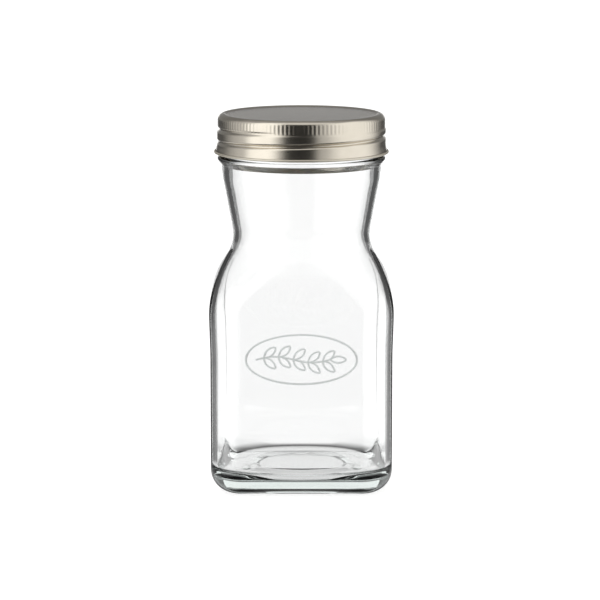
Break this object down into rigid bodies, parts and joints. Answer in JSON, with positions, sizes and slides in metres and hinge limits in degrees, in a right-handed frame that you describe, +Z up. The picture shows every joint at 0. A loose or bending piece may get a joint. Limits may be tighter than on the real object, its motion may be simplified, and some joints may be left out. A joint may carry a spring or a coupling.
{
  "type": "sauce bottle",
  "caption": "Square clear-glass sauce bottle with rounded corners, a waisted round neck, a collar bead and a low screw-on metal lid that turns and lifts off.",
  "frame": {"origin": "middle of the base, on the surface that the bottle stands on", "axes": "+Z up along the bottle's axis and the lid's thread; -Y is the front face, +X is to the right seen from the front"},
  "size_m": [0.0758, 0.0758, 0.1546],
  "materials": {
    "clear_glass": "clear soda-lime glass, moulded, smooth",
    "lid_metal": "satin tinplate with a warm clear lacquer, knurled band and rolled thread",
    "liner_foam": "pale foamed polyethylene sheet"
  },
  "bodies": {
    "bottle": {"glass_bottle": "clear_glass"},
    "liner": {"lid_liner": "liner_foam"},
    "lid": {"screw_lid": "lid_metal"}
  },
  "joints": [
    {"name": "lid_lift", "type": "slide", "parent": "bottle", "child": "liner", "axis": [0, 0, 1], "range_m": [0, 0.0204]},
    {"name": "lid_turn", "type": "hinge", "parent": "liner", "child": "lid", "pos_m": [0, 0, 0.1539], "axis": [0, 0, 1], "range_deg": [0, 1440]}
  ],
  "couplings": [
    {"joint": "lid_lift", "follows": "lid_turn", "m_per_rad": 0.00080851}
  ]
}
